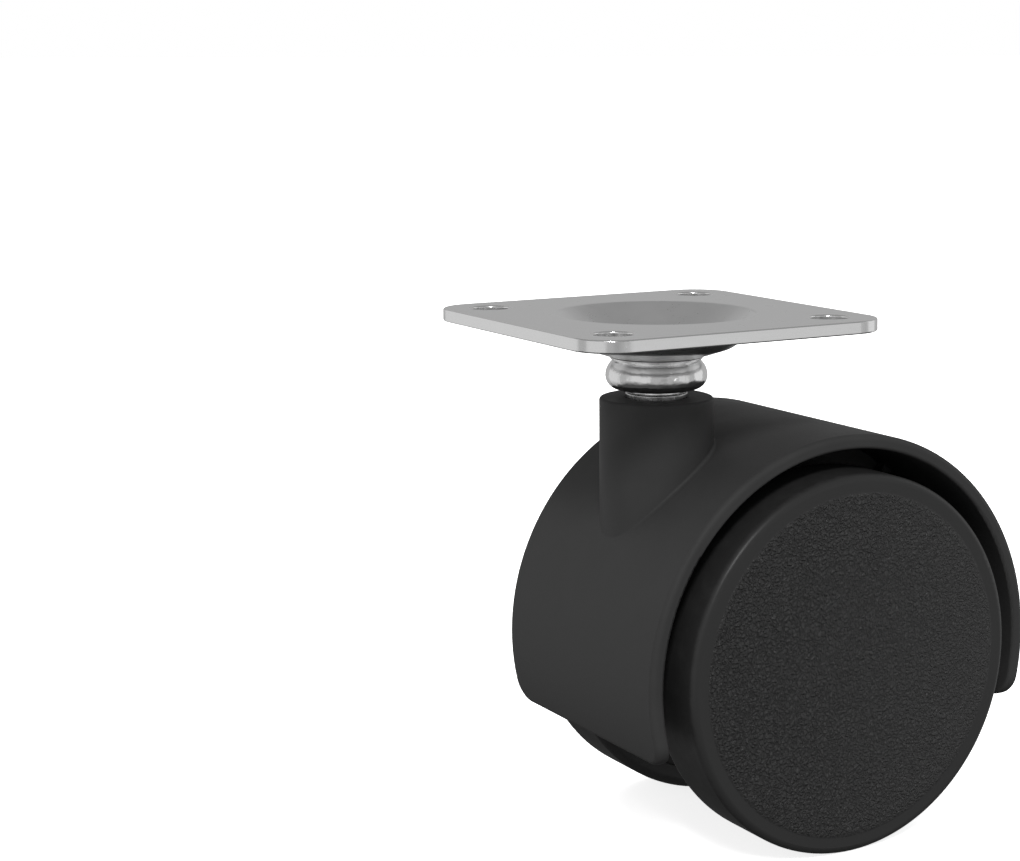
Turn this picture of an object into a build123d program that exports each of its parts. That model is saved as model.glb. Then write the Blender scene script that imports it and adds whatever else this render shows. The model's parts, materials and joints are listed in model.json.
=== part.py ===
from build123d import *
import math
import os

# Twin-wheel furniture caster with a square top plate and a hooded fork.
# Millimetres, +Z up. The origin is the centre of the bolt pattern on the plate's top face,
# on the swivel axis. The wheels trail towards +X and their axle lies along Y.
# Left is the -Y side and right is the +Y side.

# Top plate
PLATE_SIDE = 44.0
PLATE_THICKNESS = 1.65
PLATE_CORNER = 5.4
PLATE_EDGE_ROUND = 0.22
BOLT_SPACING = 32.0
BOLT_HOLE_RADIUS = 2.5
BOLT_HOLE_ROUND = 0.25
DISH_RADIUS = 13.0
DISH_KNEE_RADIUS = 9.4
DISH_KNEE_DEPTH = 2.72
DISH_FLOOR_RADIUS = 5.2
DISH_DEPTH = 4.1
DISH_BLEND = 3.0

# Swivel pin and its collar
RIVET_RADIUS = 3.0
RIVET_HEAD_RADIUS = 5.0
RIVET_HEAD_HEIGHT = 1.3
SHOULDER_RADIUS = 6.2
SHOULDER_FOOT_RADIUS = 5.95
SHOULDER_BOTTOM = -6.07
NECK_RADIUS = 5.2
COLLAR_BOTTOM = -10.0
COLLAR_RADIUS = 6.7
COLLAR_WIDEST = -8.17
COLLAR_TOP = -6.27
COLLAR_UPPER_CURVE = 2.5
COLLAR_LOWER_CURVE = 1.8
JOURNAL_RADIUS = 4.2
STEM_RADIUS = 3.5
STEM_TOP = -10.1
STEM_BOTTOM = -35.0
GRIP_GROOVE_RADIUS = 2.8
GRIP_GROOVE_TOP = -30.4
GRIP_GROOVE_HEIGHT = 1.5
GRIP_RING_RADIUS = 3.8
GRIP_RING_HEIGHT = 1.2
GRIP_RING_GAP = 2.0

# Stem socket in the hood
SOCKET_RADIUS = 4.05
SOCKET_BOTTOM = -36.3
SOCKET_CHAMFER = 0.2
SLEEVE_TOP = -10.4
SLEEVE_BOTTOM = -29.0
SLEEVE_ROUND = 0.2
STEM_CLEARANCE = 0.05
THRUST_DISC_RADIUS = 3.95
THRUST_DISC_HEIGHT = 1.2

# Hood
TRAIL = 17.7
AXLE_DROP = 45.0
HOOD_RADIUS = 29.85
HOOD_WALL = 1.86
HOOD_HALF_WIDTH = 18.55
HOOD_FRONT_DROP = 9.6
HOOD_REAR_DROP = 9.1
HOOD_CORNER = 3.0
HOOD_OUTER_ROUND = 0.76
HOOD_INNER_ROUND = 0.45
BOSS_RADIUS = 7.5
BOSS_TOP = -11.05
BOSS_BOTTOM = -38.5
BOSS_ROUND = 0.4
BOSS_FOOT_ROUND = 0.35
WEB_THICKNESS = 3.2
WEB_DROP = 7.0
AXLE_BOSS_RADIUS = 6.0
AXLE_BOSS_HALF = 9.9
RIB_THICKNESS = 1.5
RIB_ROOT_HALF = 9.6
RIB_TIP_HALF = 3.0
RIB_ANGLES = (15.0, 50.0, 112.0, 174.0)
WALL_OVERLAP = 0.6

# Axle and what it carries
AXLE_RADIUS = 3.0
AXLE_HALF_LENGTH = 18.3
AXLE_CHAMFER = 0.4
WASHER_RADIUS = 5.4
WASHER_THICKNESS = 0.5
CLIP_RADIUS = 5.4
CLIP_THICKNESS = 0.5
CLIP_INNER = 17.3
CLIP_TEETH = 6
CLIP_SLOT = 1.0
CLIP_SLOT_DEPTH = 1.3

# Wheels; heights along the axle are measured from the middle plane of the caster
WHEEL_RADIUS = 25.0
TYRE_INNER = 10.4
WHEEL_OUTER = 20.3
TYRE_OUTER_ROUND = 0.95
TYRE_INNER_ROUND = 1.3
RIM_RADIUS = 22.2
RIM_WALL = 2.0
RIM_INNER = 10.9
CORE_DISC_INNER = 13.4
CORE_DISC_OUTER = 15.2
HUB_RADIUS = 7.0
HUB_INNER = 10.7
HUB_OUTER = 17.0
SPOKE_COUNT = 8
SPOKE_THICKNESS = 1.4
SPOKE_INNER = 11.6
SPOKE_OUTER = 16.6
STIFFENER_RADIUS = 13.6
STIFFENER_WIDTH = 1.2
BUSH_RADIUS = 4.5
AXLE_CLEARANCE = 0.05
CAP_RADIUS = 23.0
CAP_INNER = 18.9
CAP_SKIRT_INNER = 16.9
CAP_SKIRT_WALL = 1.2

SIDES = {"left": -1, "right": 1}


def turned(corners):
    """Solid of revolution about Z. Each corner is (radius, height) or (radius, height, rounding)."""
    points = [corner[:2] for corner in corners]
    rounds = [corner[2] if len(corner) > 2 else 0 for corner in corners]
    outline = make_face(FilletPolyline(*points, radius=rounds, close=True))
    return revolve(Plane.XZ * outline, Axis.Z)


def ring(inner, outer, low, high):
    """Plain ring about Z."""
    return turned([(inner, low), (outer, low), (outer, high), (inner, high)])


def disc(radius, low, high):
    """Plain cylinder about Z between two heights."""
    return Pos(0, 0, low) * Cylinder(radius, high - low, align=(Align.CENTER, Align.CENTER, Align.MIN))


def on_axle(side):
    """Frame on the axle at the middle plane, with +Z pointing outwards along the axle."""
    return Plane(origin=(TRAIL, 0, -AXLE_DROP), x_dir=(1, 0, 0), z_dir=(0, side, 0)).location


def bolt_places():
    """The four corners of the bolt pattern."""
    half = BOLT_SPACING / 2
    return [(x, y) for x in (-half, half) for y in (-half, half)]


# Root body: plate, pin, collar and grip ring

def dish():
    """Pressed middle of the plate, with the hole that the pin is riveted in."""
    under = -DISH_DEPTH - PLATE_THICKNESS
    join = DISH_RADIUS + DISH_BLEND
    return turned([
        (join, 0),
        (DISH_RADIUS, 0, 0.8),
        (DISH_KNEE_RADIUS, -DISH_KNEE_DEPTH, DISH_BLEND),
        (DISH_FLOOR_RADIUS, -DISH_DEPTH, 1.0),
        (RIVET_RADIUS, -DISH_DEPTH),
        (RIVET_RADIUS, under),
        (DISH_FLOOR_RADIUS + 0.65, under, 0.8),
        (DISH_KNEE_RADIUS + 0.6, -DISH_KNEE_DEPTH - PLATE_THICKNESS - 0.05, DISH_BLEND),
        (DISH_RADIUS + 0.9, -PLATE_THICKNESS, 0.8),
        (join, -PLATE_THICKNESS),
    ])


def top_plate():
    """Square sheet-steel plate with rounded corners, four screw holes and a pressed dish."""
    sheet = extrude(RectangleRounded(PLATE_SIDE, PLATE_SIDE, PLATE_CORNER), -PLATE_THICKNESS)
    sheet = fillet(sheet.edges().filter_by(Plane.XY), PLATE_EDGE_ROUND)
    for x, y in bolt_places():
        sheet -= Pos(x, y) * disc(BOLT_HOLE_RADIUS, -PLATE_THICKNESS, 0)
    mouths = [edge for edge in sheet.edges().filter_by(GeomType.CIRCLE)
              if abs(edge.radius - BOLT_HOLE_RADIUS) < 0.01]
    sheet = fillet(mouths, BOLT_HOLE_ROUND)
    return sheet - disc(DISH_RADIUS + DISH_BLEND, -PLATE_THICKNESS, 0) + dish()


def swivel_pin():
    """Turned pin: rivet head in the dish, shoulder, collar journal, stem and grip groove."""
    floor = -DISH_DEPTH
    under = floor - PLATE_THICKNESS
    groove_bottom = GRIP_GROOVE_TOP - GRIP_GROOVE_HEIGHT
    return turned([
        (0, floor + RIVET_HEAD_HEIGHT),
        (RIVET_HEAD_RADIUS, floor + RIVET_HEAD_HEIGHT, 0.9),
        (RIVET_HEAD_RADIUS, floor),
        (RIVET_RADIUS, floor),
        (RIVET_RADIUS, under),
        (SHOULDER_RADIUS, under, 0.08),
        (SHOULDER_FOOT_RADIUS, SHOULDER_BOTTOM, 0.08),
        (NECK_RADIUS, SHOULDER_BOTTOM),
        (NECK_RADIUS, COLLAR_TOP),
        (JOURNAL_RADIUS, COLLAR_TOP),
        (JOURNAL_RADIUS, STEM_TOP),
        (STEM_RADIUS, STEM_TOP),
        (STEM_RADIUS, GRIP_GROOVE_TOP),
        (GRIP_GROOVE_RADIUS, GRIP_GROOVE_TOP),
        (GRIP_GROOVE_RADIUS, groove_bottom),
        (STEM_RADIUS, groove_bottom),
        (STEM_RADIUS, STEM_BOTTOM, 1.2),
        (0, STEM_BOTTOM),
    ])


def pin_collar():
    """Bulged ring pressed on the pin's journal under the plate."""
    lower_centre = COLLAR_RADIUS - COLLAR_LOWER_CURVE
    upper_centre = COLLAR_RADIUS - COLLAR_UPPER_CURVE
    sweep = math.degrees(math.asin((COLLAR_TOP - COLLAR_WIDEST) / COLLAR_UPPER_CURVE))
    upper = CenterArc((upper_centre, COLLAR_WIDEST), COLLAR_UPPER_CURVE, sweep, -sweep)
    lower = CenterArc((lower_centre, COLLAR_WIDEST), COLLAR_LOWER_CURVE, 0, -90)
    bore = Polyline(
        lower @ 1,
        (JOURNAL_RADIUS, COLLAR_BOTTOM),
        (JOURNAL_RADIUS, COLLAR_TOP),
        upper @ 0)
    outline = make_face([upper, lower, bore])
    return revolve(Plane.XZ * outline, Axis.Z)


def grip_ring():
    """Split spring ring in the stem's groove that keeps the pin under the sleeve."""
    slack = (GRIP_GROOVE_HEIGHT - GRIP_RING_HEIGHT) / 2
    top = GRIP_GROOVE_TOP - slack
    whole = ring(GRIP_GROOVE_RADIUS, GRIP_RING_RADIUS, top - GRIP_RING_HEIGHT, top)
    gap = Pos(GRIP_RING_RADIUS, 0, top) * Box(2 * GRIP_RING_RADIUS, GRIP_RING_GAP, 4 * GRIP_RING_HEIGHT)
    return whole - gap


# Fork body: hood, socket fittings, axle, washers and clips

def hood_end(drop, x_from):
    """Everything above one end of the arch, as wide as the hood, with that end's round corners."""
    low = -AXLE_DROP - drop
    high = HOOD_RADIUS
    half = HOOD_HALF_WIDTH
    outline = make_face(FilletPolyline(
        (-half, low), (half, low), (half, high), (-half, high),
        radius=[HOOD_CORNER, HOOD_CORNER, 0, 0], close=True))
    return extrude(Plane.YZ.offset(x_from) * outline, HOOD_RADIUS + 1)


def span_from(centre_x, centre_z, spot):
    """Distance of a point from a line along Y."""
    return math.hypot(spot.X - centre_x, spot.Z - centre_z)


def spots_on(edge):
    """Five points spread along an edge."""
    return [edge.position_at(step / 4) for step in range(5)]


def on_arch(edge, radius):
    """True if the edge lies on the arch's cylinder of this radius."""
    return all(abs(span_from(TRAIL, -AXLE_DROP, spot) - radius) < 0.001 for spot in spots_on(edge))


def on_boss(edge):
    """True if the edge lies on the stem boss's side."""
    return all(abs(math.hypot(spot.X, spot.Y) - BOSS_RADIUS) < 0.001 for spot in spots_on(edge))


def hood_shell():
    """Arch of even wall round the wheels, open at the sides and below, with rounded rims."""
    section = Circle(HOOD_RADIUS) - Circle(HOOD_RADIUS - HOOD_WALL)
    middle = Plane(origin=(TRAIL, 0, -AXLE_DROP), x_dir=(0, 0, -1), z_dir=(0, 1, 0))
    arch = extrude(middle * section, HOOD_HALF_WIDTH, both=True)
    front = hood_end(HOOD_FRONT_DROP, TRAIL - HOOD_RADIUS - 1)
    rear = hood_end(HOOD_REAR_DROP, TRAIL)
    arch = arch & (front + rear)
    outer = [edge for edge in arch.edges() if on_arch(edge, HOOD_RADIUS)]
    arch = fillet(outer, HOOD_OUTER_ROUND)
    inner = [edge for edge in arch.edges() if on_arch(edge, HOOD_RADIUS - HOOD_WALL)]
    return fillet(inner, HOOD_INNER_ROUND)


def hood_web():
    """Middle wall between the wheels, down to just below the axle."""
    reach = HOOD_RADIUS - HOOD_WALL + WALL_OVERLAP
    profile = Circle(reach) & Pos(0, (reach - WEB_DROP) / 2) * Rectangle(2 * reach, reach + WEB_DROP)
    middle = Plane(origin=(TRAIL, 0, -AXLE_DROP), x_dir=(1, 0, 0), z_dir=(0, -1, 0))
    return extrude(middle * profile, WEB_THICKNESS / 2, both=True)


def hood_ribs():
    """Cross ribs that run out from the axle boss to the arch and narrow on the way."""
    reach = HOOD_RADIUS - HOOD_WALL + WALL_OVERLAP
    outline = make_face(Polyline(
        (0, -RIB_ROOT_HALF), (AXLE_BOSS_RADIUS, -RIB_ROOT_HALF), (reach, -RIB_TIP_HALF),
        (reach, RIB_TIP_HALF), (AXLE_BOSS_RADIUS, RIB_ROOT_HALF), (0, RIB_ROOT_HALF), close=True))
    rib = extrude(outline, RIB_THICKNESS / 2, both=True)
    centre = Pos(TRAIL, 0, -AXLE_DROP)
    return [centre * Rot(0, -angle, 0) * rib for angle in RIB_ANGLES]


def hood():
    """Moulded fork: arch, web, ribs, stem boss and axle boss in one piece."""
    boss = disc(BOSS_RADIUS, BOSS_BOTTOM, BOSS_TOP)
    boss = fillet(boss.edges().filter_by(GeomType.CIRCLE).sort_by(Axis.Z)[-1], BOSS_ROUND)
    body = hood_shell() + boss
    foot = [edge for edge in body.edges() if on_boss(edge) and on_arch(edge, HOOD_RADIUS)]
    body = fillet(foot, BOSS_FOOT_ROUND) + hood_web()
    for rib in hood_ribs():
        body += rib
    axle_boss = extrude(Circle(AXLE_BOSS_RADIUS), AXLE_BOSS_HALF, both=True)
    body += on_axle(1) * axle_boss
    body -= disc(SOCKET_RADIUS, SOCKET_BOTTOM, BOSS_TOP + 1)
    body -= turned([(0, BOSS_TOP), (SOCKET_RADIUS + SOCKET_CHAMFER, BOSS_TOP),
                    (SOCKET_RADIUS, BOSS_TOP - SOCKET_CHAMFER), (0, BOSS_TOP - SOCKET_CHAMFER)])
    return body - on_axle(1) * extrude(Circle(AXLE_RADIUS), AXLE_BOSS_HALF, both=True)


def stem_sleeve():
    """Steel tube pressed in the boss that the stem turns in; its top stands just proud."""
    bore = STEM_RADIUS + STEM_CLEARANCE
    return turned([
        (bore, SLEEVE_BOTTOM),
        (SOCKET_RADIUS, SLEEVE_BOTTOM),
        (SOCKET_RADIUS, SLEEVE_TOP, SLEEVE_ROUND),
        (bore, SLEEVE_TOP, 0.15),
    ])


def thrust_disc():
    """Hard steel disc at the bottom of the socket that the stem's end bears on."""
    return disc(THRUST_DISC_RADIUS, SOCKET_BOTTOM, SOCKET_BOTTOM + THRUST_DISC_HEIGHT)


def axle():
    """Straight steel axle held in the axle boss, with chamfered ends."""
    bar = disc(AXLE_RADIUS, -AXLE_HALF_LENGTH, AXLE_HALF_LENGTH)
    bar = chamfer(bar.edges().filter_by(GeomType.CIRCLE), AXLE_CHAMFER)
    return on_axle(1) * bar


def hub_washer(side):
    """Thin washer between the axle boss and a wheel's hub."""
    washer = ring(AXLE_RADIUS, WASHER_RADIUS, AXLE_BOSS_HALF, AXLE_BOSS_HALF + WASHER_THICKNESS)
    return on_axle(side) * washer


def axle_clip(side):
    """Push-on clip with spring teeth that keeps a wheel on the axle."""
    clip = ring(AXLE_RADIUS, CLIP_RADIUS, CLIP_INNER, CLIP_INNER + CLIP_THICKNESS)
    slot = Pos(AXLE_RADIUS + CLIP_SLOT_DEPTH / 2, 0, CLIP_INNER) * Box(
        CLIP_SLOT_DEPTH + 0.4, CLIP_SLOT, 4 * CLIP_THICKNESS)
    for tooth in range(CLIP_TEETH):
        clip -= Rot(0, 0, tooth * 360 / CLIP_TEETH) * slot
    return on_axle(side) * clip


# Wheel bodies: core, bush, tyre and cap on each side

def wheel_core(side):
    """Moulded core: hub, rim and middle disc, with spokes and a stiffening ring on both its faces."""
    rim = ring(RIM_RADIUS - RIM_WALL, RIM_RADIUS, RIM_INNER, CAP_INNER)
    middle = ring(HUB_RADIUS - 1, RIM_RADIUS - 1, CORE_DISC_INNER, CORE_DISC_OUTER)
    stiffener = ring(STIFFENER_RADIUS, STIFFENER_RADIUS + STIFFENER_WIDTH, SPOKE_INNER, SPOKE_OUTER)
    hub = ring(BUSH_RADIUS, HUB_RADIUS, HUB_INNER, HUB_OUTER)
    core = rim + middle + stiffener + hub
    reach = RIM_RADIUS - HUB_RADIUS
    depth = SPOKE_OUTER - SPOKE_INNER
    spoke = Pos(HUB_RADIUS + reach / 2 - 1, 0, SPOKE_INNER + depth / 2) * Box(reach, SPOKE_THICKNESS, depth)
    for number in range(SPOKE_COUNT):
        core += Rot(0, 0, number * 360 / SPOKE_COUNT) * spoke
    return on_axle(side) * core


def hub_bush(side):
    """Plain bearing bush pressed in a wheel's hub."""
    return on_axle(side) * ring(AXLE_RADIUS + AXLE_CLEARANCE, BUSH_RADIUS, HUB_INNER, HUB_OUTER)


def tyre(side):
    """Tread band on the rim, with an outer lip that frames the cap."""
    band = turned([
        (RIM_RADIUS, TYRE_INNER),
        (WHEEL_RADIUS, TYRE_INNER, TYRE_INNER_ROUND),
        (WHEEL_RADIUS, WHEEL_OUTER, TYRE_OUTER_ROUND),
        (CAP_RADIUS, WHEEL_OUTER),
        (CAP_RADIUS, CAP_INNER),
        (RIM_RADIUS, CAP_INNER),
    ])
    return on_axle(side) * band


def wheel_cap(side):
    """Outer disc flush with the tyre's side, held by a skirt inside the rim."""
    skirt = RIM_RADIUS - RIM_WALL
    cap = turned([
        (0, WHEEL_OUTER),
        (CAP_RADIUS, WHEEL_OUTER),
        (CAP_RADIUS, CAP_INNER),
        (skirt, CAP_INNER),
        (skirt, CAP_SKIRT_INNER),
        (skirt - CAP_SKIRT_WALL, CAP_SKIRT_INNER),
        (skirt - CAP_SKIRT_WALL, CAP_INNER),
        (0, CAP_INNER),
    ])
    return on_axle(side) * cap


def all_pieces():
    """Every node name with its solid."""
    pieces = {
        "top_plate": top_plate(),
        "swivel_pin": swivel_pin(),
        "pin_collar": pin_collar(),
        "grip_ring": grip_ring(),
        "hood": hood(),
        "stem_sleeve": stem_sleeve(),
        "thrust_disc": thrust_disc(),
        "axle": axle(),
    }
    makers = {
        "hub_washer": hub_washer,
        "axle_clip": axle_clip,
        "wheel_core": wheel_core,
        "hub_bush": hub_bush,
        "tyre": tyre,
        "wheel_cap": wheel_cap,
    }
    for name, side in SIDES.items():
        for part, make in makers.items():
            pieces[f"{name}_{part}"] = make(side)
    return pieces


os.makedirs("parts", exist_ok=True)
for node, solid in all_pieces().items():
    export_step(solid, f"parts/{node}.step")
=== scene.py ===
import json
import math
import bpy
from mathutils import Matrix, Vector


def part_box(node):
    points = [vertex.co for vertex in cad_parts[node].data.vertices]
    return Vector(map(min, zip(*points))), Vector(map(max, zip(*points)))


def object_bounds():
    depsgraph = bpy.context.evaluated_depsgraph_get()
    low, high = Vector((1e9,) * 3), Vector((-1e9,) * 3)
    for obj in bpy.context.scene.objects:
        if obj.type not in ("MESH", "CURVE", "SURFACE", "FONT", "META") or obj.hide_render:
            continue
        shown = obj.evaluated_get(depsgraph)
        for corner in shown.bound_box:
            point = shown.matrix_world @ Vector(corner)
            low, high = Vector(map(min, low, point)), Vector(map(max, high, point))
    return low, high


# Chair caster: looks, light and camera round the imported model.
# The frame is in metres; materials work in millimetres of the same frame.
# Azimuths of lights are counted from +X towards +Y.

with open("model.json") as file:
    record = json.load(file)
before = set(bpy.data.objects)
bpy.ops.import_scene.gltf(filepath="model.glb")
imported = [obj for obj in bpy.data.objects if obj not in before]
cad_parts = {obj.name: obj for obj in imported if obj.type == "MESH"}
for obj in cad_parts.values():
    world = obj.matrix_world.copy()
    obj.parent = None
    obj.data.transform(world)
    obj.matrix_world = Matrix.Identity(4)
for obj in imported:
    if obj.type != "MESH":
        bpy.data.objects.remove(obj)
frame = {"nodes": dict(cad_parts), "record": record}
cad_low, cad_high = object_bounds()

MM = 1000
PLATE_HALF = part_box("top_plate")[1].x * MM
AXLE_X = sum(corner.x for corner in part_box("axle")) / 2 * MM
AXLE_Z = sum(corner.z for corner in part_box("axle")) / 2 * MM
CAP_RADIUS = (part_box("left_wheel_cap")[1].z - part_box("left_wheel_cap")[0].z) / 2 * MM
WHEEL_RADIUS = (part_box("left_tyre")[1].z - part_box("left_tyre")[0].z) / 2 * MM
PLATE_CORNER = 5.4
BOLT_PLACE = 16.0
BOLT_RADIUS = 2.5

# Camera
CAMERA_PLACE = (-0.14946, -0.24207, 0.03371)
CAMERA_YAW = 31.865
CAMERA_PITCH = 7.181
CAMERA_LENS = 77.73
CAMERA_SHIFT = (-0.15, -0.10)
CAMERA_REACH = (0.01, 100)

# Surround: how bright it is at each height, from 0 straight below to 1 straight above
SKY_LOW = 0.07
SKY_HORIZON = 0.46
SKY_TOP = 0.30
SKY_LEVELS = ((0.18, SKY_LOW), (0.37, SKY_HORIZON), (0.62, SKY_HORIZON), (0.90, SKY_TOP))

# Flag: a slightly darker spot in the surround, with its angles in degrees
FLAG_PLACE = (256, 0)
FLAG_INNER = 5
FLAG_OUTER = 15
FLAG_LEVEL = 0.75

# Floor
FLOOR_SIZE = 60.0
FLOOR_TONE = 0.9
FLOOR_ROUGHNESS = 0.9
FLOOR_SUN = 3.0
FLOOR_SUN_ANGLE = 90
FLOOR_GLOW = 0.80

# Soft boxes round the caster, each this far from its middle
SOFTBOX_DISTANCE = 1.0
SOFTBOXES = {
    # name: azimuth, elevation, width, height, level
    "key": (239, 39, 0.17, 0.17, 42.0),
    "left_fill": (200, 8, 1.0, 1.0, 0.24),
    "left_back": (125, 3, 0.80, 1.50, 0.25),
    "right": (350, 5, 0.60, 1.20, 0.34),
    "right_front": (300, 3, 0.44, 0.80, 0.22),
    "spark": (278, 3, 0.07, 0.13, 1.6),
}

# Wheels' outer sides and treads: levels are how light they are, the gloss is the specular level
SIDE_LEVEL = 0.035
SIDE_ROUGHNESS = 0.36
SIDE_GLOSS = 0.3
TREAD_LEVEL = 0.030
TREAD_DUST = 0.012
TREAD_ROUGHNESS = 0.44

# Grain of the wheel caps, in millimetres where it is a size. The margin is smooth up to
# MARGIN_OUTER from the cap's edge and fully grained from MARGIN_INNER on.
GRAIN_LEVEL = 0.045
GRAIN_CONTRAST = 0.026
GRAIN_SIZE = 0.62
GRAIN_DEPTH = 0.48
# The next two numbers also paint a highlight on the -X side of the caps: grain above the first is
# painted lighter there, and the second is the share of relief and painted highlight left on the +X
# side.
PAINTED_HIGHLIGHT_GROUND = 0.3
GRAIN_SHALLOWEST_LEAST_PAINTED_HIGHLIGHT = 0.35
CREASE_SIZE = 0.34
MARGIN_OUTER = 0.2
MARGIN_INNER = 0.9

# Polish of the plate's edge and hole walls, as roughness taken away. It starts and is full at
# these distances from the edge or the wall.
EDGE_POLISH = 0.12
EDGE_POLISH_START = 0.3
HOLE_POLISH = 0.10
HOLE_POLISH_START = 0.35
POLISH_FULL = 0.1

# Nylon of every kind, and the gloss of the hood and the wheels' cores
NYLON_IOR = 1.4
NYLON_GLOSS = 0.15

# Where the sum of two noises mostly lies
TWO_NOISES = (0.7, 1.3)


def grey(level):
    """Neutral colour of one level."""
    return (level, level, level, 1)


def direction(azimuth, elevation):
    """Unit vector that points at an azimuth and elevation in degrees."""
    a, e = math.radians(azimuth), math.radians(elevation)
    return Vector((math.cos(a) * math.cos(e), math.sin(a) * math.cos(e), math.sin(e)))


# Camera, light and floor

def make_camera():
    """Camera in front and to the left, looking down a little."""
    ahead = direction(90 - CAMERA_YAW, -CAMERA_PITCH)
    right = direction(-CAMERA_YAW, 0)
    turn = Matrix((right, right.cross(ahead), -ahead)).transposed()
    data = bpy.data.cameras.new("camera")
    data.lens = CAMERA_LENS
    data.shift_x, data.shift_y = CAMERA_SHIFT
    data.clip_start, data.clip_end = CAMERA_REACH
    camera = bpy.data.objects.new("camera", data)
    camera.matrix_world = Matrix.Translation(CAMERA_PLACE) @ turn.to_4x4()
    bpy.context.scene.collection.objects.link(camera)
    bpy.context.scene.camera = camera


def make_world():
    """Dim soft surround, darker below, overhead and at one small flag in front.

    The camera sees plain white in its place.
    """
    world = bpy.data.worlds.new("studio")
    bpy.context.scene.world = world
    world.use_nodes = True
    tree = world.node_tree
    tree.nodes.clear()
    place = tree.nodes.new("ShaderNodeTexCoord")
    split = tree.nodes.new("ShaderNodeSeparateXYZ")
    height = tree.nodes.new("ShaderNodeMapRange")
    height.inputs["From Min"].default_value = -1
    ramp = tree.nodes.new("ShaderNodeValToRGB")
    ramp.color_ramp.interpolation = "EASE"
    while len(ramp.color_ramp.elements) < len(SKY_LEVELS):
        ramp.color_ramp.elements.new(0.5)
    for stop, (position, level) in zip(ramp.color_ramp.elements, SKY_LEVELS):
        stop.position = position
        stop.color = grey(level)
    towards_flag = tree.nodes.new("ShaderNodeVectorMath")
    towards_flag.operation = "DOT_PRODUCT"
    towards_flag.inputs[1].default_value = direction(*FLAG_PLACE)
    flag = tree.nodes.new("ShaderNodeMapRange")
    flag.interpolation_type = "SMOOTHSTEP"
    flag.inputs["From Min"].default_value = math.cos(math.radians(FLAG_OUTER))
    flag.inputs["From Max"].default_value = math.cos(math.radians(FLAG_INNER))
    flag.inputs["To Min"].default_value = 1
    flag.inputs["To Max"].default_value = FLAG_LEVEL
    surround = tree.nodes.new("ShaderNodeBackground")
    backdrop = tree.nodes.new("ShaderNodeBackground")
    backdrop.inputs["Color"].default_value = grey(1)
    rays = tree.nodes.new("ShaderNodeLightPath")
    choose = tree.nodes.new("ShaderNodeMixShader")
    out = tree.nodes.new("ShaderNodeOutputWorld")
    link = tree.links.new
    link(place.outputs["Generated"], split.inputs[0])
    link(place.outputs["Generated"], towards_flag.inputs[0])
    link(towards_flag.outputs["Value"], flag.inputs["Value"])
    link(flag.outputs[0], surround.inputs["Strength"])
    link(split.outputs["Z"], height.inputs["Value"])
    link(height.outputs[0], ramp.inputs[0])
    link(ramp.outputs["Color"], surround.inputs["Color"])
    link(rays.outputs["Is Camera Ray"], choose.inputs[0])
    link(surround.outputs[0], choose.inputs[1])
    link(backdrop.outputs[0], choose.inputs[2])
    link(choose.outputs[0], out.inputs[0])


def add_softbox(name, azimuth, elevation, width, height, level):
    """Rectangular light facing the caster; level 1 is as bright as the white backdrop."""
    data = bpy.data.lights.new(name, "AREA")
    data.shape = "RECTANGLE"
    data.size, data.size_y = width, height
    data.energy = level * math.pi * width * height
    light = bpy.data.objects.new(name, data)
    middle = (cad_low + cad_high) / 2
    towards = direction(azimuth, elevation)
    light.location = middle + towards * SOFTBOX_DISTANCE
    light.rotation_euler = towards.to_track_quat("Z", "Y").to_euler()
    light.visible_camera = False
    bpy.context.scene.collection.objects.link(light)


def make_lights():
    """Soft boxes round the caster."""
    for name, (azimuth, elevation, width, height, level) in SOFTBOXES.items():
        add_softbox(name, azimuth, elevation, width, height, level)


def make_floor():
    """Wide plain pale floor, glowing a little and lit by a soft light that only it takes.

    Its lower face is clear, so that the caster can be looked at from below.
    """
    bpy.ops.mesh.primitive_plane_add(size=FLOOR_SIZE, location=(0, 0, cad_low.z))
    floor = bpy.context.object
    floor.name = "floor"
    look = bpy.data.materials.new("pale_floor")
    look.use_nodes = True
    shader = look.node_tree.nodes["Principled BSDF"]
    shader.inputs["Base Color"].default_value = grey(FLOOR_TONE)
    shader.inputs["Roughness"].default_value = FLOOR_ROUGHNESS
    shader.inputs["Specular IOR Level"].default_value = 0
    shader.inputs["Emission Color"].default_value = grey(1)
    shader.inputs["Emission Strength"].default_value = FLOOR_GLOW
    out = look.node_tree.nodes["Material Output"]
    side = look.node_tree.nodes.new("ShaderNodeNewGeometry")
    clear = look.node_tree.nodes.new("ShaderNodeBsdfTransparent")
    one_sided = look.node_tree.nodes.new("ShaderNodeMixShader")
    link = look.node_tree.links.new
    link(side.outputs["Backfacing"], one_sided.inputs[0])
    link(shader.outputs[0], one_sided.inputs[1])
    link(clear.outputs[0], one_sided.inputs[2])
    link(one_sided.outputs[0], out.inputs["Surface"])
    floor.data.materials.append(look)
    floor.visible_diffuse = False
    floor.visible_glossy = False
    sun = bpy.data.lights.new("floor_light", "SUN")
    sun.energy = FLOOR_SUN
    sun.angle = math.radians(FLOOR_SUN_ANGLE)
    light = bpy.data.objects.new("floor_light", sun)
    bpy.context.scene.collection.objects.link(light)
    lit = bpy.data.collections.new("floor_only")
    lit.objects.link(floor)
    light.light_linking.receiver_collection = lit


# Materials

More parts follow.
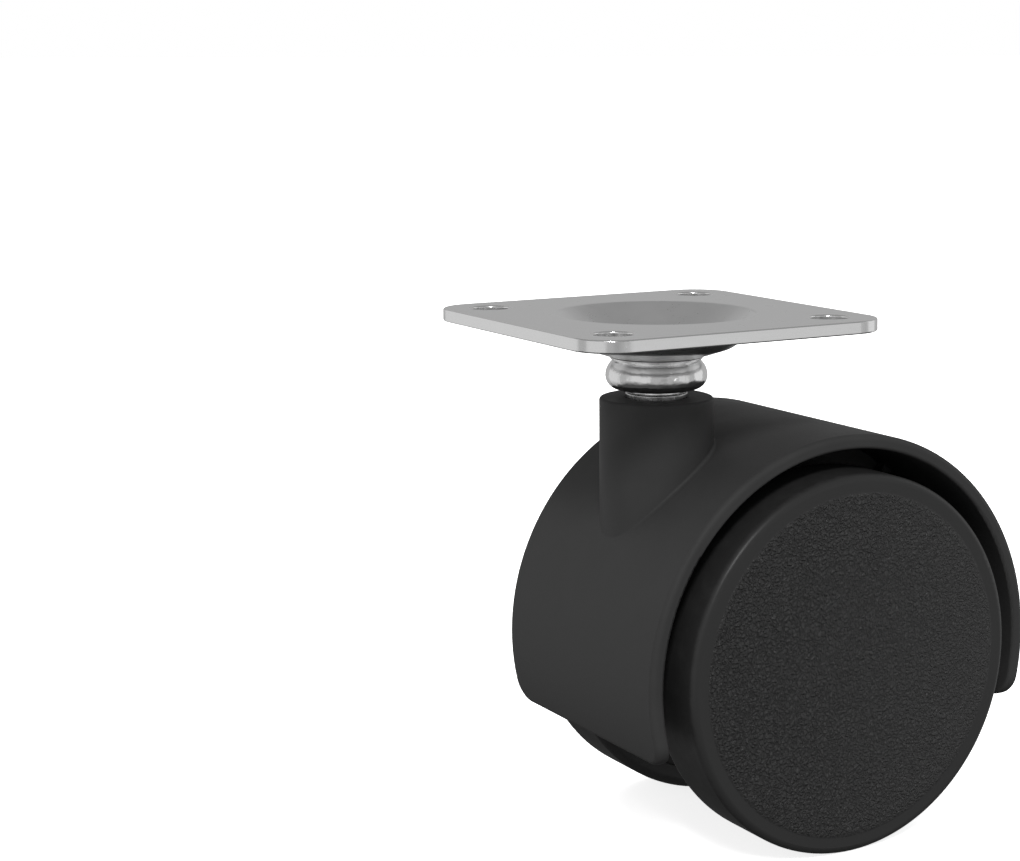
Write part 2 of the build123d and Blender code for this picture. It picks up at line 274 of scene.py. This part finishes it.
class Look:
    """A node material round one Principled shader, working in millimetres on the resting caster."""

    def __init__(self, name):
        self.material = bpy.data.materials.new(name)
        self.material.use_nodes = True
        self.tree = self.material.node_tree
        self.shader = self.tree.nodes["Principled BSDF"]
        coordinates = self.tree.nodes.new("ShaderNodeTexCoord")
        self.place = self.vector("SCALE", coordinates.outputs["Object"], factor=MM)

    def feed(self, socket, value):
        """Link a socket to another one, or set it to a fixed value."""
        if isinstance(value, bpy.types.NodeSocket):
            self.tree.links.new(value, socket)
        else:
            socket.default_value = value

    def math(self, operation, first, second=0.0, clamp=False):
        """Result of an arithmetic operation, held between 0 and 1 if clamp is set."""
        made = self.tree.nodes.new("ShaderNodeMath")
        made.operation = operation
        made.use_clamp = clamp
        self.feed(made.inputs[0], first)
        self.feed(made.inputs[1], second)
        return made.outputs[0]

    def vector(self, operation, first, second=None, factor=None):
        """Result of a vector operation."""
        made = self.tree.nodes.new("ShaderNodeVectorMath")
        made.operation = operation
        self.feed(made.inputs[0], first)
        if second is not None:
            self.feed(made.inputs[1], second)
        if factor is not None:
            self.feed(made.inputs["Scale"], factor)
        return made.outputs["Value" if operation in ("LENGTH", "DOT_PRODUCT") else "Vector"]

    def noise(self, size, detail=2.0, roughness=0.5, distortion=0.0, stretch=(1, 1, 1)):
        """Cloudy noise from 0 to 1 whose lumps are about size millimetres, longer along stretch."""
        place = self.vector("DIVIDE", self.place, stretch)
        made = self.tree.nodes.new("ShaderNodeTexNoise")
        self.feed(made.inputs["Vector"], place)
        made.inputs["Scale"].default_value = 1 / size
        made.inputs["Detail"].default_value = detail
        made.inputs["Roughness"].default_value = roughness
        made.inputs["Distortion"].default_value = distortion
        return made.outputs["Fac"]

    def cells(self, size, place):
        """Distance to the nearest edge in a pattern of cells about size millimetres across."""
        made = self.tree.nodes.new("ShaderNodeTexVoronoi")
        made.feature = "DISTANCE_TO_EDGE"
        self.feed(made.inputs["Vector"], place)
        made.inputs["Scale"].default_value = 1 / size
        return made.outputs["Distance"]

    def spread(self, value, low, high, to_low=0.0, to_high=1.0, smooth=False):
        """Value rescaled from one range to another and held at its ends."""
        made = self.tree.nodes.new("ShaderNodeMapRange")
        made.interpolation_type = "SMOOTHSTEP" if smooth else "LINEAR"
        for socket, number in zip(made.inputs, (value, low, high, to_low, to_high)):
            self.feed(socket, number)
        return made.outputs[0]

    def shade(self, share, dark, light):
        """Colour between two others."""
        made = self.tree.nodes.new("ShaderNodeMix")
        made.data_type = "RGBA"
        self.feed(made.inputs["Factor"], share)
        self.feed(made.inputs["A"], dark)
        self.feed(made.inputs["B"], light)
        return made.outputs["Result"]

    def blend(self, share, first, second):
        """Value between two others."""
        made = self.tree.nodes.new("ShaderNodeMix")
        for socket, value in zip((made.inputs["Factor"], made.inputs["A"], made.inputs["B"]),
                                 (share, first, second)):
            self.feed(socket, value)
        return made.outputs["Result"]

    def bump(self, height, depth, below=None):
        """Surface relief: depth is the height in millimetres that a step from 0 to 1 stands for."""
        made = self.tree.nodes.new("ShaderNodeBump")
        made.inputs["Distance"].default_value = depth / MM
        self.feed(made.inputs["Height"], height)
        if below is not None:
            self.feed(made.inputs["Normal"], below)
        return made.outputs["Normal"]

    def set(self, **values):
        """Feed the shader's inputs; underscores stand for spaces."""
        for name, value in values.items():
            self.feed(self.shader.inputs[name.replace("_", " ")], value)
        return self.material


def axle_distance(look):
    """Distance from the axle's line in millimetres."""
    flat = look.vector("MULTIPLY", look.place, (1, 0, 1))
    return look.vector("LENGTH", look.vector("SUBTRACT", flat, (AXLE_X, 0, AXLE_Z)))


def corner_distance(look, place, outside=False):
    """Distance in plan from the point at (place, place) of the plate's nearest quarter.

    With outside set, distances towards the middle count as nothing.
    """
    offset = look.vector("SUBTRACT", look.vector("ABSOLUTE", look.place), (place, place, 0))
    offset = look.vector("MULTIPLY", offset, (1, 1, 0))
    if outside:
        offset = look.vector("MAXIMUM", offset, (0, 0, 0))
    return look.vector("LENGTH", offset)


def plated_sheet():
    """Satin zinc plating on rolled sheet, smoother on the edges and inside the screw holes."""
    look = Look("zinc_plating")
    rolled = look.noise(0.16, detail=3, stretch=(14, 1, 1))
    blotches = look.noise(3.5, detail=4, roughness=0.6)
    speckle = look.noise(0.25, detail=2)
    from_hole = corner_distance(look, BOLT_PLACE)
    hole = look.spread(from_hole, BOLT_RADIUS + HOLE_POLISH_START, BOLT_RADIUS + POLISH_FULL)
    reach = corner_distance(look, PLATE_HALF - PLATE_CORNER, outside=True)
    edge = look.spread(reach, PLATE_CORNER - EDGE_POLISH_START, PLATE_CORNER - POLISH_FULL)
    tone = look.math("ADD", look.math("MULTIPLY", blotches, 0.7), look.math("MULTIPLY", speckle, 0.3))
    roughness = look.spread(look.math("ADD", blotches, rolled), *TWO_NOISES, 0.27, 0.36)
    roughness = look.math("SUBTRACT", roughness, look.math("MULTIPLY", hole, HOLE_POLISH))
    roughness = look.math("SUBTRACT", roughness, look.math("MULTIPLY", edge, EDGE_POLISH))
    relief = look.bump(rolled, 0.002)
    relief = look.bump(blotches, 0.012, relief)
    return look.set(
        Base_Color=look.shade(tone, grey(0.76), grey(0.86)),
        Metallic=1.0, Roughness=roughness, Normal=relief)


def turned_steel(name, dark, light, roughness, waviness):
    """Bare steel with fine rings round the swivel axis and a slightly wavy surface."""
    look = Look(name)
    rings = look.noise(0.07, detail=3, stretch=(60, 60, 1))
    waves = look.noise(1.3, detail=2)
    marks = look.noise(0.5, detail=4, roughness=0.7)
    relief = look.bump(rings, 0.0015)
    relief = look.bump(waves, waviness, relief)
    both = look.math("ADD", rings, marks)
    rough = look.spread(both, *TWO_NOISES, roughness * 0.75, roughness * 1.35)
    return look.set(
        Base_Color=look.shade(marks, grey(dark), grey(light)),
        Metallic=1.0, Roughness=rough, Normal=relief)


def spring_steel():
    """Dark oiled spring steel with faint drawing marks."""
    look = Look("spring_steel")
    marks = look.noise(0.12, detail=3, stretch=(8, 1, 8))
    stains = look.noise(1.2, detail=3)
    return look.set(
        Base_Color=look.shade(stains, (0.16, 0.15, 0.14, 1), (0.30, 0.29, 0.28, 1)),
        Metallic=1.0, Roughness=look.spread(marks, 0.3, 0.7, 0.28, 0.42),
        Normal=look.bump(marks, 0.003))


def moulded_nylon(name, level, roughness, grain):
    """Black nylon off a finely eroded mould, with faint flow shading and light scuffs."""
    look = Look(name)
    fine = look.noise(0.18, detail=3, roughness=0.6)
    flow = look.noise(7.0, detail=3, distortion=0.6)
    scuffs = look.spread(look.noise(0.6, detail=5, roughness=0.75, stretch=(1, 1, 5)), 0.66, 0.80)
    flow_share = look.math("MULTIPLY", flow, 0.8)
    scuff_share = look.math("MULTIPLY", scuffs, 0.3)
    tone = look.math("ADD", flow_share, scuff_share, clamp=True)
    rough = look.spread(look.math("ADD", fine, flow), *TWO_NOISES, roughness - 0.05, roughness + 0.06)
    relief = look.bump(fine, grain)
    relief = look.bump(flow, 0.02, relief)
    return look.set(
        Base_Color=look.shade(tone, grey(level * 0.85), grey(level * 1.2)),
        Roughness=rough, Normal=relief, IOR=NYLON_IOR, Specular_IOR_Level=NYLON_GLOSS)


def grained_cap_painted_highlight():
    """Black nylon cap with a fine leather grain that ends in a smooth margin.

    The grain's relief is deepest on the -X side of the resting face and gets shallower towards +X.
    Towards -X its colour is also painted lighter and more contrasting, a painted highlight for the
    light that falls on that side.
    """
    look = Look("grained_nylon_painted_highlight")
    light = grey(GRAIN_LEVEL + GRAIN_CONTRAST)
    dark = grey(GRAIN_LEVEL - GRAIN_CONTRAST)
    warp = look.noise(0.8, detail=1)
    warped = look.vector("ADD", look.place, look.vector("SCALE", warp, factor=0.7))
    pebbles = look.spread(look.cells(GRAIN_SIZE, place=warped), 0.02, 0.22)
    creases = look.spread(look.noise(CREASE_SIZE, detail=2, distortion=1.0), 0.38, 0.62)
    grain = look.math("ADD", look.math("MULTIPLY", pebbles, 0.5), look.math("MULTIPLY", creases, 0.5))
    # Painted highlight: the factor below deepens the relief towards -X and also paints the colour
    # there lighter and more contrasting, for the light that falls on that side.
    along = look.vector("DOT_PRODUCT", look.place, (1, 0, 0))
    relief_and_painted_highlight = look.spread(along, AXLE_X - CAP_RADIUS, AXLE_X + CAP_RADIUS, 1.0, GRAIN_SHALLOWEST_LEAST_PAINTED_HIGHLIGHT)
    face = look.spread(
        axle_distance(look), CAP_RADIUS - MARGIN_OUTER, CAP_RADIUS - MARGIN_INNER, smooth=True)
    # depth carries the relief and the painted highlight alike.
    depth = look.math("MULTIPLY", relief_and_painted_highlight, face)
    height = look.math("MULTIPLY", grain, depth)
    above_painted_highlight_ground = look.math("SUBTRACT", grain, PAINTED_HIGHLIGHT_GROUND)
    tone = look.spread(look.math("MULTIPLY", above_painted_highlight_ground, depth), -0.5, 0.5)
    grained = look.shade(tone, dark, light)
    return look.set(
        Base_Color=look.shade(face, grey(SIDE_LEVEL), grained),
        Roughness=look.spread(tone, 0, 1, SIDE_ROUGHNESS + 0.06, SIDE_ROUGHNESS - 0.06),
        Normal=look.bump(height, GRAIN_DEPTH), IOR=NYLON_IOR, Specular_IOR_Level=SIDE_GLOSS)


def tread():
    """Hard tread with running marks and a little dust.

    Its outer side is as smooth as the cap's margin.
    """
    look = Look("tread_nylon")
    fine = look.noise(0.22, detail=3, roughness=0.6)
    running = look.noise(0.35, detail=3, stretch=(12, 1, 12))
    dust = look.noise(2.2, detail=5, roughness=0.65)
    rolling = look.spread(axle_distance(look), WHEEL_RADIUS - 0.35, WHEEL_RADIUS - 0.05, smooth=True)
    marks = look.math("MULTIPLY", running, rolling)
    dusty = look.spread(dust, 0.45, 0.8, TREAD_LEVEL, TREAD_LEVEL + TREAD_DUST)
    level = look.blend(rolling, SIDE_LEVEL, dusty)
    rough = look.blend(rolling, SIDE_ROUGHNESS, TREAD_ROUGHNESS)
    rough = look.math("ADD", rough, look.math("MULTIPLY", marks, 0.05))
    relief = look.bump(fine, 0.006)
    relief = look.bump(marks, 0.010, relief)
    return look.set(
        Base_Color=level, Roughness=rough, Normal=relief,
        IOR=NYLON_IOR, Specular_IOR_Level=SIDE_GLOSS)


def acetal():
    """Off-white bearing plastic, slightly greasy."""
    look = Look("acetal")
    cloud = look.noise(1.5, detail=3)
    fine = look.noise(0.12, detail=2)
    return look.set(
        Base_Color=look.shade(cloud, (0.66, 0.64, 0.58, 1), (0.78, 0.77, 0.72, 1)),
        Roughness=look.spread(fine, 0.3, 0.7, 0.30, 0.42), Normal=look.bump(fine, 0.004))


LOOKS = {
    "zinc_steel": plated_sheet(),
    "bright_steel": turned_steel("turned_steel", 0.80, 0.90, 0.16, 0.09),
    "spring_steel": spring_steel(),
    "hood_nylon": moulded_nylon("hood_nylon", 0.053, 0.54, 0.008),
    "core_nylon": moulded_nylon("core_nylon", 0.045, 0.50, 0.006),
    "cap_nylon": grained_cap_painted_highlight(),
    "tyre_rubber": tread(),
    "bearing_acetal": acetal(),
}

# Nodes that look different from their material slot
OWN_LOOKS = {
    "stem_sleeve": turned_steel("drawn_tube", 0.42, 0.56, 0.22, 0.03),
}


def dress():
    """Give every node the look of its material slot, or its own."""
    for part in frame["record"]["subparts"]:
        look = OWN_LOOKS.get(part["node"], LOOKS[part["material_slot"]])
        frame["nodes"][part["node"]].material_slots[0].material = look


dress()
make_camera()
make_world()
make_lights()
make_floor()
bpy.context.scene.view_settings.view_transform = "Standard"
